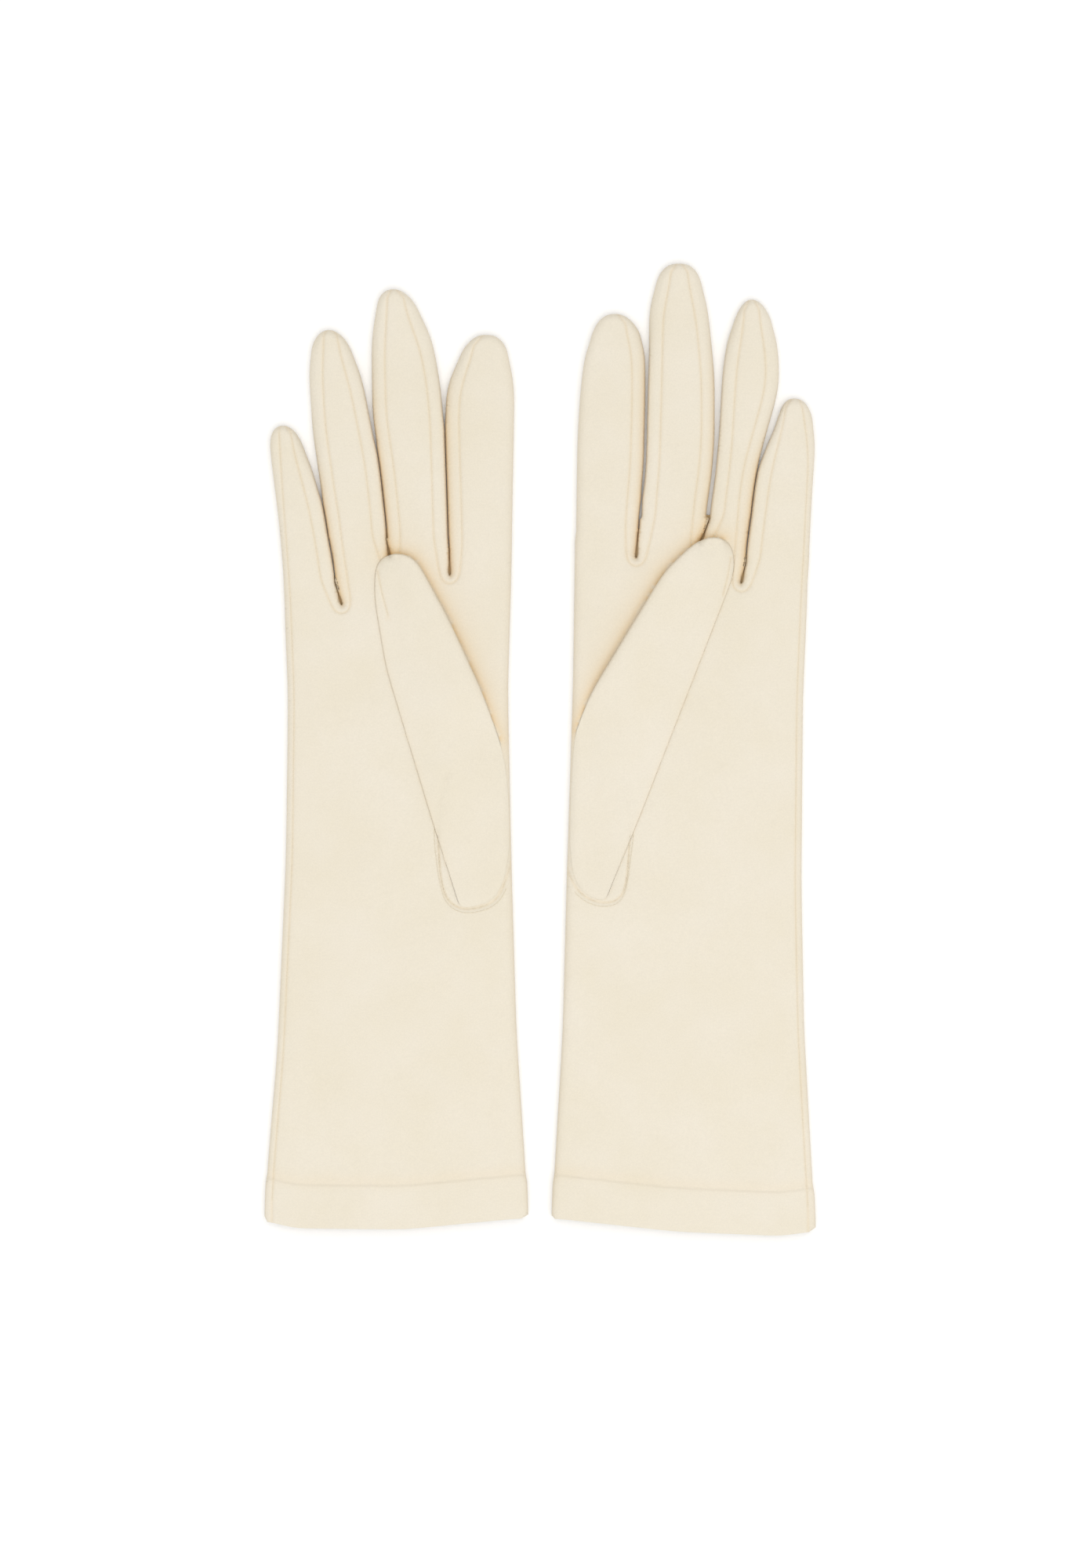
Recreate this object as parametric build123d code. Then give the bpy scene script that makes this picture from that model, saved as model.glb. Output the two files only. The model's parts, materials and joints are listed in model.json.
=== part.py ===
from build123d import *
import math
import os

# A pair of short opera gloves in woven cloth, laid flat side by side with the
# palms up and the thumbs folded over the palms.
# Millimetres. X to the right, Y towards the fingertips, Z up.
# The origin is on the surface the gloves lie on, under the middle of the pair.

HAND_H = 8.0          # height of the flattened hand and cuff
FINGER_H = 7.0        # height of a flattened finger
THUMB_H = 6.6         # height of the flattened thumb
THUMB_Z = 8.3         # underside of the folded thumb, just above the palm
WALL = 0.8            # cloth
EDGE_R = 1.4          # soft outer edge of every flattened part
SEAM_W = 0.6          # width of a line of stitching
FINGER_GAP = 0.5      # slit between neighbouring fingers
JOINT_GAP = 0.6       # slit between a finger and the hand where it bends
HEM_DEPTH = 16.0      # turned-in band at the cuff
FOURCHETTE_IN = 5.2   # seam of a fourchette, in from the finger's edge
CROTCH_W = 3.6        # half-width of a fourchette where it reaches the palm
SIDE_SEAM_IN = 2.4    # side seam, in from the little-finger edge
FORK_R = 1.0          # rounded end of the slit between two fingers
TIP_R = 3.0           # rounding of the two corners of a fingertip
SHOULDER = 11.0       # seams run straight over this last stretch to the tip

FINGERS = ["pinky", "ring", "middle", "index"]

# Each outline follows one glove's own cloth, and the two gloves lie a little
# differently. A finger runs up its little-finger side, over the tip and down
# its other side. "fork" holds the lower ends of the slits, and "shoulder" the
# point beside the little finger's bend where the ring finger's root steps out
# of the way of the bending finger.

RIGHT = {
    "name": "right",
    "side": 1,
    "outer": [(-102, -173.8), (-101, -154), (-97.4, -112), (-94.2, -40), (-93.4, 20), (-95.2, 61.5)],
    "inner": [(-4.6, -173.2), (-5.6, -154), (-8.8, -105), (-10.6, -45), (-12, 22), (-10.4, 73.7)],
    "hem": [(-92, -177.2), (-50, -177.6)],
    "pinky": [(-93.6, 45), (-97, 84), (-100.6, 113), (-99.6, 118.4), (-97.2, 120.6), (-93.8, 120.6),
              (-90.4, 118), (-86.1, 110), (-80.8, 92), (-73.2, 50)],
    "ring": [(-73.2, 50), (-80.8, 92), (-84.6, 118), (-86, 140), (-85.2, 149), (-82.8, 154), (-80, 156),
             (-76.6, 156), (-72.4, 152.8), (-68.2, 145.6), (-65, 134), (-59.5, 105), (-55.2, 66)],
    "middle": [(-55.2, 66), (-59.5, 105), (-62.4, 124), (-62.8, 150), (-61.8, 160), (-60, 168), (-57.2, 171),
               (-52, 171), (-47.6, 167.4), (-42.8, 160), (-39.2, 149.4), (-36.6, 134), (-35.6, 122), (-33.5, 58)],
    "index": [(-33.4, 58), (-35.4, 122), (-35.2, 132), (-32.4, 142), (-28, 149.8), (-23.4, 154),
              (-16.4, 154), (-12.6, 150), (-10.4, 142), (-9.3, 132), (-10.6, 60)],
    "bend": {"pinky": ((-95.2, 61.5), (-75.3, 61.5)), "ring": ((-78.1, 77.4), (-56.6, 77.4)),
             "middle": ((-56.4, 77.4), (-34.0, 77.4)), "index": ((-33.9, 73.7), (-10.4, 73.7))},
    "fork": {"pinky": (-73.6, 53.5), "ring": (-55.8, 71), "middle": (-33.6, 64.5)},
    "shoulder": (-75.0, 70.2),
    "thumb": [(-15.2, 4), (-21.6, 21.6), (-33.4, 47.4), (-47, 72.6), (-61, 72.6), (-61.4, 56), (-57, 30),
              (-41, -23), (-31.6, -53)],
    "passage": ((-30, -20), 72.0),
    "gusset": [(-12.8, 3), (-30, 3), (-38.6, -18), (-37.6, -50), (-30, -59.6), (-20, -58.4), (-13.4, -50)],
}

LEFT = {
    "name": "left",
    "side": -1,
    "outer": [(102, -177.8), (100.6, -154), (97.8, -104), (96.8, -50), (97.4, 20), (99.6, 69)],
    "inner": [(4.4, -173.4), (5.6, -152), (8.4, -104), (9.8, -50), (12.2, 24), (13, 80)],
    "hem": [(90, -180.1), (50, -178.4)],
    "pinky": [(98.6, 47), (101, 95), (102.2, 112), (101.4, 123), (98.8, 128.8), (95.8, 130.6), (92.2, 130.6),
              (89.9, 128.6), (80.4, 104), (73.6, 54)],
    "ring": [(73.6, 54), (80.4, 104), (88.6, 133), (88.9, 140), (88.4, 149), (86.4, 158.8), (83, 164.8),
             (79.8, 167.4), (76.4, 167.4), (73, 162.4), (69.6, 154.6), (67.4, 141), (66, 116), (64.5, 100),
             (59.7, 70)],
    "middle": [(58.6, 70), (63.7, 100), (64.9, 115), (64.9, 138), (63.6, 152), (62.4, 163), (60.8, 171),
               (58.6, 177), (55.2, 180.4), (47.8, 180.4), (44.2, 177), (41.6, 170), (40.1, 162),
               (40.2, 150), (39.6, 130), (39, 105), (35, 66)],
    "index": [(35, 66), (38.6, 105), (39.2, 130), (39.2, 149), (37.2, 155), (34, 159.2), (30.4, 161.8),
              (25, 161.8), (21.4, 159.2), (18.7, 154), (16.2, 146), (14.6, 132), (13.6, 115), (12.8, 60)],
    "bend": {"pinky": ((99.6, 69), (75.6, 69)), "ring": ((77.8, 85), (61.9, 85)),
             "middle": ((61.1, 85), (36.9, 85)), "index": ((36.4, 80), (13, 80))},
    "fork": {"pinky": (74.5, 61.5), "ring": (59.3, 76), "middle": (35.6, 71)},
    "shoulder": (75.2, 77.8),
    "thumb": [(13.4, 7.5), (18.6, 20.6), (31.9, 40), (46, 66), (59.6, 78.7), (71.4, 78.7), (72.2, 66),
              (38, -22), (25, -54)],
    "passage": ((28, -18), 108.0),
    "gusset": [(12.8, 8), (27, 8), (35, -16), (33.4, -47), (27, -57.6), (18, -56), (12, -47)],
}


# ------------------------------------------------------------------ helpers

def unit(a, b):
    run = math.dist(a, b)
    return ((b[0] - a[0]) / run, (b[1] - a[1]) / run)


def moved(point, direction, distance):
    return (point[0] + direction[0] * distance, point[1] + direction[1] * distance)


def shifted(points, distance):
    """The line of points moved sideways, to its left when distance is positive."""
    result = []
    for i in range(len(points)):
        before = unit(points[max(i - 1, 0)], points[max(i, 1)])
        after = unit(points[min(i, len(points) - 2)], points[min(i + 1, len(points) - 1)])
        turn = 1 + before[0] * after[0] + before[1] * after[1]
        x = -(before[1] + after[1]) / turn
        y = (before[0] + after[0]) / turn
        result.append((points[i][0] + x * distance, points[i][1] + y * distance))
    return result


def flat(points):
    return make_face(Polyline(*points, close=True))


def prism(face, z0, z1):
    return Pos(0, 0, z0) * extrude(face, amount=z1 - z0, dir=(0, 0, 1))


def ribbon(points, half_width):
    """Upright band along a line of points."""
    return prism(flat(shifted(points, half_width) + shifted(points, -half_width)[::-1]), -1, 20)


def layer(z0, z1):
    """Everything between two heights."""
    return Pos(0, 0, (z0 + z1) / 2) * Box(600, 900, z1 - z0)


def beyond(point, direction):
    """Everything on the side of an upright plane that direction points to."""
    angle = math.degrees(math.atan2(direction[1], direction[0]))
    return Pos(point[0], point[1], 0) * Rot(0, 0, angle) * Pos(200, 0, 0) * Box(400, 900, 80)


def near(vertices, corners):
    return [v for v in vertices if any(math.dist((v.X, v.Y), c) < 0.3 for c in corners)]


def whole(shape):
    kept = [s for s in shape.solids() if s.volume > 0.3]
    return kept[0] if len(kept) == 1 else Compound(kept)


def write(glove, part, shape):
    export_step(whole(shape), f"parts/{glove['name']}_{part}.step")


# ------------------------------------------------------------------ fingers

def along(glove, finger):
    """Unit direction from a finger's bend to its tip, square to the bend."""
    a, b = glove["bend"][finger]
    d = unit(a, b)
    return (-d[1] * glove["side"], d[0] * glove["side"])


def tip_corners(glove, finger):
    """The two corners of a finger's outline at its tip."""
    return sorted(glove[finger], key=lambda p: -p[1])[:2]


def finger_face(glove, finger, inset):
    face = flat(glove[finger])
    face = fillet(near(face.vertices(), tip_corners(glove, finger)), TIP_R)
    return offset(face, amount=-inset, kind=Kind.INTERSECTION)


def finger_shell(glove, finger):
    """Hollow pad of one finger, open where it meets the hand."""
    pad = prism(finger_face(glove, finger, FINGER_GAP / 2), 0, FINGER_H)
    pad = fillet(pad.faces().filter_by(Axis.Z).edges(), EDGE_R)
    hollow = prism(finger_face(glove, finger, FINGER_GAP / 2 + WALL), WALL, FINGER_H - WALL)
    up = along(glove, finger)
    start = moved(glove["bend"][finger][0], up, JOINT_GAP)
    return (pad & beyond(start, up)) - hollow


def seam(glove, finger, end, inset):
    """Seam beside one edge of a finger, running out at the tip. end is 0 on
    the little-finger side and 1 on the other."""
    outline = glove[finger] if end == 0 else glove[finger][::-1]
    tips = tip_corners(glove, finger)
    corner = next(p for p in outline if p in tips)
    side = [p for p in outline[:outline.index(corner)] if p[1] < corner[1] - SHOULDER]
    turn = -glove["side"] if end == 0 else glove["side"]
    inside = shifted(side + [corner], turn * inset)[:-1]
    middle = ((tips[0][0] + tips[1][0]) / 2, (tips[0][1] + tips[1][1]) / 2)
    inside.append(moved(middle, unit(middle, corner), 1.5))
    up = along(glove, finger)
    inside.append(moved(inside[-1], up, 3))
    return inside


def edge_side(glove, line, end):
    """Everything from a seam out past the finger's edge on that side."""
    sideways = 60 * glove["side"] * (1 if end else -1)
    top = line[-1]
    low = line[0]
    return prism(flat(line + [(top[0] + sideways, top[1]), (low[0] + sideways, low[1])]), -1, 20)


def make_finger(glove, finger):
    shell = finger_shell(glove, finger)
    upper = layer(FINGER_H - WALL, FINGER_H + 1)
    skins = upper + layer(-1, WALL)
    if finger == "index":
        line = seam(glove, finger, 0, FOURCHETTE_IN)
        thread = (shell & ribbon(line, SEAM_W / 2)) & skins
        tab = shell - edge_side(glove, line, 0) - ribbon(line, SEAM_W / 2)
        write(glove, "index_tab", tab)
        write(glove, "index_seam_thread", thread)
        write(glove, "index_fourchette", shell - tab - thread)
        return
    if finger == "pinky":
        side_line = seam(glove, finger, 0, SIDE_SEAM_IN)
        line = seam(glove, finger, 1, FOURCHETTE_IN)
        far_side = edge_side(glove, line, 1) + ribbon(line, SEAM_W / 2)
        near_side = edge_side(glove, side_line, 0) + ribbon(side_line, SEAM_W / 2)
        palm = (shell & upper) - near_side - far_side
        thread = (shell & ribbon(line, SEAM_W / 2)) & skins
        thread += (shell & ribbon(side_line, SEAM_W / 2)) & upper
        write(glove, "pinky_palm_tab", palm)
        write(glove, "pinky_back_tab", shell - far_side - palm - thread)
        write(glove, "pinky_seam_thread", thread)
        write(glove, "pinky_fourchette", (shell & far_side) - thread)
        return
    lines = [seam(glove, finger, end, FOURCHETTE_IN) for end in (0, 1)]
    bands = ribbon(lines[0], SEAM_W / 2) + ribbon(lines[1], SEAM_W / 2)
    thread = (shell & bands) & skins
    centre = shell - bands - edge_side(glove, lines[0], 0) - edge_side(glove, lines[1], 1)
    palm = centre & upper
    back = centre & layer(-1, WALL)
    rest = shell - palm - back - thread
    a, b = glove["bend"][finger]
    middle = ((a[0] + b[0]) / 2, (a[1] + b[1]) / 2)
    tips = tip_corners(glove, finger)
    up = unit(middle, ((tips[0][0] + tips[1][0]) / 2, (tips[0][1] + tips[1][1]) / 2))
    little_side = beyond(middle, (-up[1] * glove["side"], up[0] * glove["side"]))
    write(glove, f"{finger}_palm_tab", palm)
    write(glove, f"{finger}_back_tab", back)
    write(glove, f"{finger}_fourchette_little_side", rest & little_side)
    write(glove, f"{finger}_fourchette_thumb_side", rest - little_side)
    write(glove, f"{finger}_seam_thread", thread)


# ------------------------------------------------------------------ hand

def hand_face(glove):
    """Outline of the hand and cuff up to the bends of the fingers."""
    bends = [p for finger in FINGERS for p in glove["bend"][finger]]
    bends.insert(2, glove["shoulder"])
    return flat(glove["outer"] + bends[1:-1] + glove["inner"][::-1] + glove["hem"][::-1])


def hollow_face(glove, inset):
    """Inside of the hand, from under the forks out through the cuff."""
    outer = shifted(glove["outer"], -glove["side"] * inset)
    inner = shifted(glove["inner"], glove["side"] * inset)
    forks = [(x, y - inset - FORK_R) for x, y in glove["fork"].values()]
    mouth = [(inner[0][0], -200), (outer[0][0], -200)]
    return flat(outer + forks + inner[::-1] + mouth)


def stub_hollow(glove, finger):
    """Way from the inside of the hand into a finger, between its two slits."""
    side = glove["side"]
    number = FINGERS.index(finger)
    forks = [glove["outer"][-2]] + list(glove["fork"].values()) + [glove["inner"][-2]]
    (left, y0), (right, y1) = forks[number], forks[number + 1]
    a, b = glove["bend"][finger]
    inset = WALL + FINGER_GAP / 2
    deep = FORK_R + WALL
    way = [(left + side * deep, y0 - deep), (left + side * deep, y0)]
    if finger == "ring":
        x, y = glove["shoulder"]
        way.append((x + side * inset, y))
    way += [(a[0] + side * inset, a[1] + 3), (b[0] - side * inset, b[1] + 3)]
    way += [(right - side * deep, y1), (right - side * deep, y1 - deep)]
    return prism(flat(way), WALL, HAND_H - WALL)


def fork_slot(glove, finger, half_width, end_radius, reach):
    """Upright slot along the slit beside a finger, round at its lower end."""
    fork = glove["fork"][finger]
    up = unit(fork, glove["bend"][finger][1])
    turn = Rot(0, 0, math.degrees(math.atan2(up[1], up[0])))
    slot = Pos(fork[0], fork[1], 4) * turn * Pos(reach / 2, 0, 0) * Box(reach, 2 * half_width, 30)
    return slot + Pos(fork[0], fork[1], 4) * Cylinder(end_radius, 30)


def passage(glove):
    """Way from the inside of the hand up into the thumb."""
    (x, y), angle = glove["passage"]
    return Pos(x, y, 8) * Rot(0, 0, angle) * Box(20, 8.4, 8)


def make_hand(glove):
    pad = prism(hand_face(glove), 0, HAND_H)
    sides = glove["outer"] + glove["inner"]
    rims = [e for e in pad.faces().filter_by(Axis.Z).edges()
            if len(near(e.vertices(), sides)) == 2 and abs((e @ 0).Y - (e @ 1).Y) > 10]
    pad = fillet(rims, EDGE_R)
    for finger in glove["fork"]:
        reach = math.dist(glove["fork"][finger], glove["bend"][finger][1]) + 0.3
        pad -= fork_slot(glove, finger, FINGER_GAP / 2, FORK_R, reach)
    hollow = prism(hollow_face(glove, WALL), WALL, HAND_H - WALL)
    for finger in FINGERS:
        hollow += stub_hollow(glove, finger)
    shell = pad - hollow
    upper = layer(HAND_H - WALL, HAND_H + 1)
    skins = upper + layer(-1, WALL)

    crotches = Part()
    margins = Part()
    for finger in glove["fork"]:
        crotches += fork_slot(glove, finger, CROTCH_W, CROTCH_W, 40)
        margins += fork_slot(glove, finger, CROTCH_W + SEAM_W, CROTCH_W + SEAM_W, 40)
    crotch = shell & crotches
    crotch_thread = ((shell & margins) - crotches) & skins

    side_line = shifted(glove["outer"], -glove["side"] * SIDE_SEAM_IN)
    side_line = [(side_line[0][0], -190)] + side_line + [moved(side_line[-1], along(glove, "pinky"), 5)]
    side_thread = (shell & ribbon(side_line, SEAM_W / 2)) & upper

    gusset_face = flat(glove["gusset"])
    inside = prism(gusset_face, HAND_H - WALL, HAND_H)
    around = prism(offset(gusset_face, amount=SEAM_W, kind=Kind.INTERSECTION), HAND_H - WALL, HAND_H)
    gusset = (shell & inside) - passage(glove)
    thumb_thread = (shell & around) - inside

    hem_top = glove["hem"][1][1] + HEM_DEPTH
    lining = (pad & prism(hollow_face(glove, WALL), WALL, HAND_H - WALL)) & beyond((0, hem_top), (0, -1))
    lining -= prism(hollow_face(glove, 2 * WALL), 2 * WALL, HAND_H - 2 * WALL)
    row = Pos(0, hem_top - 1.5, HAND_H / 2) * Box(600, SEAM_W, HAND_H)

    write(glove, "trank_hand", shell - crotch - crotch_thread - side_thread - around)
    write(glove, "cuff_hem", lining - row)
    write(glove, "hem_thread", lining & row)
    write(glove, "fourchette_crotches", crotch)
    write(glove, "fourchette_crotch_thread", crotch_thread)
    write(glove, "side_seam_thread", side_thread)
    write(glove, "thumb_gusset", gusset)
    write(glove, "thumb_set_in_thread", thumb_thread)


# ------------------------------------------------------------------ thumb

def make_thumb(glove):
    outline = glove["thumb"]
    tips = sorted(outline, key=lambda p: -p[1])[:2]
    root = unit(outline[-1], outline[0])
    off_root = (-root[1] * glove["side"], root[0] * glove["side"])
    face = flat(outline)
    face = fillet(near(face.vertices(), tips), 5)
    pad = prism(face, THUMB_Z, THUMB_Z + THUMB_H)
    pad = fillet(pad.faces().filter_by(Axis.Z).edges(), EDGE_R)
    hollow = prism(offset(face, amount=-WALL, kind=Kind.INTERSECTION), THUMB_Z + WALL, THUMB_Z + THUMB_H - WALL)
    shell = pad - hollow - passage(glove)
    split = beyond(((tips[0][0] + tips[1][0]) / 2, tips[0][1]), (-off_root[0], -off_root[1]))
    edge = prism(face, THUMB_Z, THUMB_Z + THUMB_H) - prism(offset(face, amount=-1.4, kind=Kind.INTERSECTION), 0, 20)
    middle = THUMB_Z + THUMB_H / 2
    closing = (edge & layer(middle - SEAM_W / 2, middle + SEAM_W / 2)) & split
    closing -= beyond(moved(outline[-1], off_root, 2), (-off_root[0], -off_root[1]))
    write(glove, "thumb_stall", shell - closing)
    write(glove, "thumb_seam_thread", shell & closing)


for glove in (RIGHT, LEFT):
    make_hand(glove)
    for finger in FINGERS:
        make_finger(glove, finger)
    make_thumb(glove)
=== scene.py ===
import json
import math

import bpy
import numpy as np
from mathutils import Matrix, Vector
from mathutils.geometry import delaunay_2d_cdt
from mathutils.kdtree import KDTree


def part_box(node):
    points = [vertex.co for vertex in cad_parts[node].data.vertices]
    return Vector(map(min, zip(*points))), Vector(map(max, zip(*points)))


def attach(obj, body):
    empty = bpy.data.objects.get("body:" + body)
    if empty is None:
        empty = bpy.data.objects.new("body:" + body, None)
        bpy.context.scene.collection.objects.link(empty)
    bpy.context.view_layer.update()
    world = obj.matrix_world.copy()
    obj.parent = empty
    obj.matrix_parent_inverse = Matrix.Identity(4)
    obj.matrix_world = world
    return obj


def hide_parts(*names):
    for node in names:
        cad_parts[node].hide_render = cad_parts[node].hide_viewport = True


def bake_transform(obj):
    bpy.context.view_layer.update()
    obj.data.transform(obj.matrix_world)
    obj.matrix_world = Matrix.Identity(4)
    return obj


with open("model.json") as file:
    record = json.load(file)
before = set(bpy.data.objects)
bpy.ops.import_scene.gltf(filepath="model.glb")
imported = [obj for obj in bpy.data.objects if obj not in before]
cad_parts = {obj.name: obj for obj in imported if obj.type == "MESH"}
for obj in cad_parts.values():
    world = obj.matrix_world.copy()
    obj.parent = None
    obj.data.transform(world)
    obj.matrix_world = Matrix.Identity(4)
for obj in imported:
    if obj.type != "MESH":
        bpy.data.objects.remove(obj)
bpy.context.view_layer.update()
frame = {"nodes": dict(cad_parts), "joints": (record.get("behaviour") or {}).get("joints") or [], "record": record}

rng = np.random.default_rng(7)
MM = 0.001
CLOTH = 0.45 * MM            # thickness of the knitted cloth
CUT = 5.0 * MM               # how far below a finger's bend its own cloth begins
HEM = 16.0 * MM
EDGE_Z = 2.3 * MM            # height of the folded side edges
STITCH = (1.45 * MM, 1.25 * MM, 0.17 * MM)      # pitch, length and radius of a seam stitch
STITCH_PROUD = 0.05 * MM     # seam stitches lie this far above the cloth
ROWS = (0.3 * MM, 0.75 * MM, 1.4 * MM, 2.3 * MM)    # rows of points beside each seam
FOLD_ROWS, FOLD_COLUMNS = 16, 7                 # points along and across a fourchette fold
ON_HAND = 4                  # the hand, where the fingers count from 0 to 3
FINGERS = ["pinky", "ring", "middle", "index"]
BODIES = frame["record"]["behaviour"]["bodies"]
JOINTS = {j["name"]: j for j in frame["joints"]}

# ------------------------------------------------------------------ camera

scene = bpy.context.scene
lens = bpy.data.cameras.new("camera")
lens.lens = 100
lens.sensor_width = 36
lens.clip_start = 0.05
camera = bpy.data.objects.new("camera", lens)
camera.location = (0.0016, -0.0128, 1.617)
scene.collection.objects.link(camera)
scene.camera = camera
scene.view_settings.view_transform = "Standard"


# ------------------------------------------------------------------ materials

def cloth_material(name, colour, thread=False):
    mat = bpy.data.materials.new(name)
    mat.use_nodes = True
    nodes, links = mat.node_tree.nodes, mat.node_tree.links
    bsdf = nodes["Principled BSDF"]
    bsdf.inputs["Roughness"].default_value = 0.92
    bsdf.inputs["Specular IOR Level"].default_value = 0.12
    bsdf.inputs["Sheen Weight"].default_value = 0.12
    bsdf.inputs["Sheen Roughness"].default_value = 0.5
    bsdf.inputs["Sheen Tint"].default_value = (1.0, 0.97, 0.9, 1)
    place = nodes.new("ShaderNodeTexCoord")

    # broad, faint differences of tone
    cloud = nodes.new("ShaderNodeTexNoise")
    cloud.inputs["Scale"].default_value = 38
    cloud.inputs["Detail"].default_value = 5
    cloud.inputs["Roughness"].default_value = 0.6
    links.new(place.outputs["Object"], cloud.inputs["Vector"])
    tone = nodes.new("ShaderNodeMapRange")
    tone.inputs["From Min"].default_value = 0.3
    tone.inputs["From Max"].default_value = 0.7
    tone.inputs["To Min"].default_value = 0.0
    tone.inputs["To Max"].default_value = 1.0
    links.new(cloud.outputs["Fac"], tone.inputs["Value"])
    mix = nodes.new("ShaderNodeMix")
    mix.data_type = "RGBA"
    mix.inputs["A"].default_value = (colour[0] * 0.985, colour[1] * 0.978, colour[2] * 0.955, 1)
    mix.inputs["B"].default_value = (min(1, colour[0] * 1.012), colour[1] * 1.014, colour[2] * 1.03, 1)
    links.new(tone.outputs["Result"], mix.inputs["Factor"])

    # painted warm shade along seams, slits, edges and folds, read from a per-point attribute
    painted_shade = nodes.new("ShaderNodeAttribute")
    painted_shade.attribute_name = "painted_shade"
    painted_warm_shade = nodes.new("ShaderNodeMix")
    painted_warm_shade.data_type = "RGBA"
    # darker, warmer colour that the painted shade mixes toward
    painted_warm_shade.inputs["B"].default_value = (colour[0] * 1.02, colour[1] * 0.76, colour[2] * 0.42, 1)
    links.new(painted_shade.outputs["Fac"], painted_warm_shade.inputs["Factor"])
    links.new(mix.outputs["Result"], painted_warm_shade.inputs["A"])

    # the weave: fine ribs both ways, broken up by yarn noise
    ribs = []
    for direction, scale in (("X", 1050), ("Y", 900)):
        wave = nodes.new("ShaderNodeTexWave")
        wave.bands_direction = direction
        wave.inputs["Scale"].default_value = scale * (0.5 if thread else 1)
        wave.inputs["Distortion"].default_value = 2.2
        wave.inputs["Detail"].default_value = 1
        wave.inputs["Detail Scale"].default_value = 2
        links.new(place.outputs["Object"], wave.inputs["Vector"])
        ribs.append(wave)
    weave = nodes.new("ShaderNodeMath")
    weave.operation = "MULTIPLY"
    links.new(ribs[0].outputs["Fac"], weave.inputs[0])
    links.new(ribs[1].outputs["Fac"], weave.inputs[1])
    yarn = nodes.new("ShaderNodeTexNoise")
    yarn.inputs["Scale"].default_value = 1500
    yarn.inputs["Detail"].default_value = 3
    links.new(place.outputs["Object"], yarn.inputs["Vector"])
    height = nodes.new("ShaderNodeMath")
    height.operation = "MULTIPLY_ADD"
    height.inputs[1].default_value = 0.8
    links.new(yarn.outputs["Fac"], height.inputs[0])
    links.new(weave.outputs["Value"], height.inputs[2])
    bump = nodes.new("ShaderNodeBump")
    bump.inputs["Strength"].default_value = 0.45
    bump.inputs["Distance"].default_value = 0.00012
    links.new(height.outputs["Value"], bump.inputs["Height"])
    links.new(bump.outputs["Normal"], bsdf.inputs["Normal"])

    # yarn-scale flecks of tone
    fleck = nodes.new("ShaderNodeMapRange")
    fleck.inputs["From Min"].default_value = 0.25
    fleck.inputs["From Max"].default_value = 0.75
    fleck.inputs["To Min"].default_value = 0.965
    fleck.inputs["To Max"].default_value = 1.02
    links.new(yarn.outputs["Fac"], fleck.inputs["Value"])
    shade = nodes.new("ShaderNodeVectorMath")
    shade.operation = "SCALE"
    links.new(painted_warm_shade.outputs["Result"], shade.inputs[0])
    links.new(fleck.outputs["Result"], shade.inputs["Scale"])
    links.new(shade.outputs["Vector"], bsdf.inputs["Base Color"])
    return mat


CREAM = cloth_material("cream_cloth", (0.790, 0.730, 0.610))
THREAD = cloth_material("cream_thread", (0.760, 0.690, 0.550), thread=True)


# ------------------------------------------------------------------ reading the CAD

def edges_of(names):
    found = []
    for name in names:
        mesh = frame["nodes"][name].data
        co = np.zeros(len(mesh.vertices) * 3, np.float32)
        mesh.vertices.foreach_get("co", co)
        co = co.reshape(-1, 3).astype(float)
        ends = np.zeros(len(mesh.edges) * 2, np.int32)
        mesh.edges.foreach_get("vertices", ends)
        found.append(co[ends.reshape(-1, 2)])
    return np.concatenate(found)


def crossings(edges, origin, up, side, station):
    """Where the edges cross an upright plane: places along side, and heights."""
    a = (edges[:, 0, :2] - origin) @ up - station
    b = (edges[:, 1, :2] - origin) @ up - station
    hit = (a * b < 0)
    t = (a[hit] / (a[hit] - b[hit]))[:, None]
    p = edges[hit, 0] * (1 - t) + edges[hit, 1] * t
    return (p[:, :2] - origin) @ side, p[:, 2]


def smooth(values, width, stations):
    """Weighted running mean of a profile, over about the given width."""
    out = []
    for s in stations:
        w = np.exp(-(((stations - s) / width) ** 2))
        out.append((values * w).sum() / w.sum())
    return np.array(out)


def resample(line, step, closed=False):
    line = np.asarray(line, float)
    if closed:
        line = np.vstack([line, line[:1]])
    run = np.concatenate([[0], np.cumsum(np.linalg.norm(np.diff(line, axis=0), axis=1))])
    keep = np.concatenate([[True], np.diff(run) > 1e-7])
    line, run = line[keep], run[keep]
    count = max(2, int(round(run[-1] / step)) + 1)
    at = np.linspace(0, run[-1], count)
    out = np.stack([np.interp(at, run, line[:, i]) for i in range(line.shape[1])], 1)
    return out[:-1] if closed else out


def rounded(line, step, passes, closed=False):
    """Evenly spaced and softened line; an open line keeps its ends."""
    line = resample(line, step, closed)
    for _ in range(passes):
        if closed:
            line = (np.roll(line, 1, 0) + 2 * line + np.roll(line, -1, 0)) / 4
        else:
            line[1:-1] = (line[:-2] + 2 * line[1:-1] + line[2:]) / 4
    return line


def distance_to(points, lines):
    """Distance of each point to the nearest of several open lines."""
    starts, ends = [], []
    for line in lines:
        fine = resample(line, 0.35 * MM)
        starts.append(fine[:-1])
        ends.append(fine[1:])
    a, b = np.concatenate(starts), np.concatenate(ends)
    tree = KDTree(len(a))
    for i, p in enumerate((a + b) / 2):
        tree.insert((p[0], p[1], 0), i)
    tree.balance()
    near = np.array([[hit[1] for hit in tree.find_n((p[0], p[1], 0), 2)] for p in points])
    best = np.full(len(points), 1e9)
    for k in range(2):
        s, e = a[near[:, k]], b[near[:, k]]
        d = e - s
        t = np.clip(((points - s) * d).sum(1) / (d * d).sum(1), 0, 1)[:, None]
        best = np.minimum(best, np.linalg.norm(points - s - d * t, axis=1))
    return best


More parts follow.
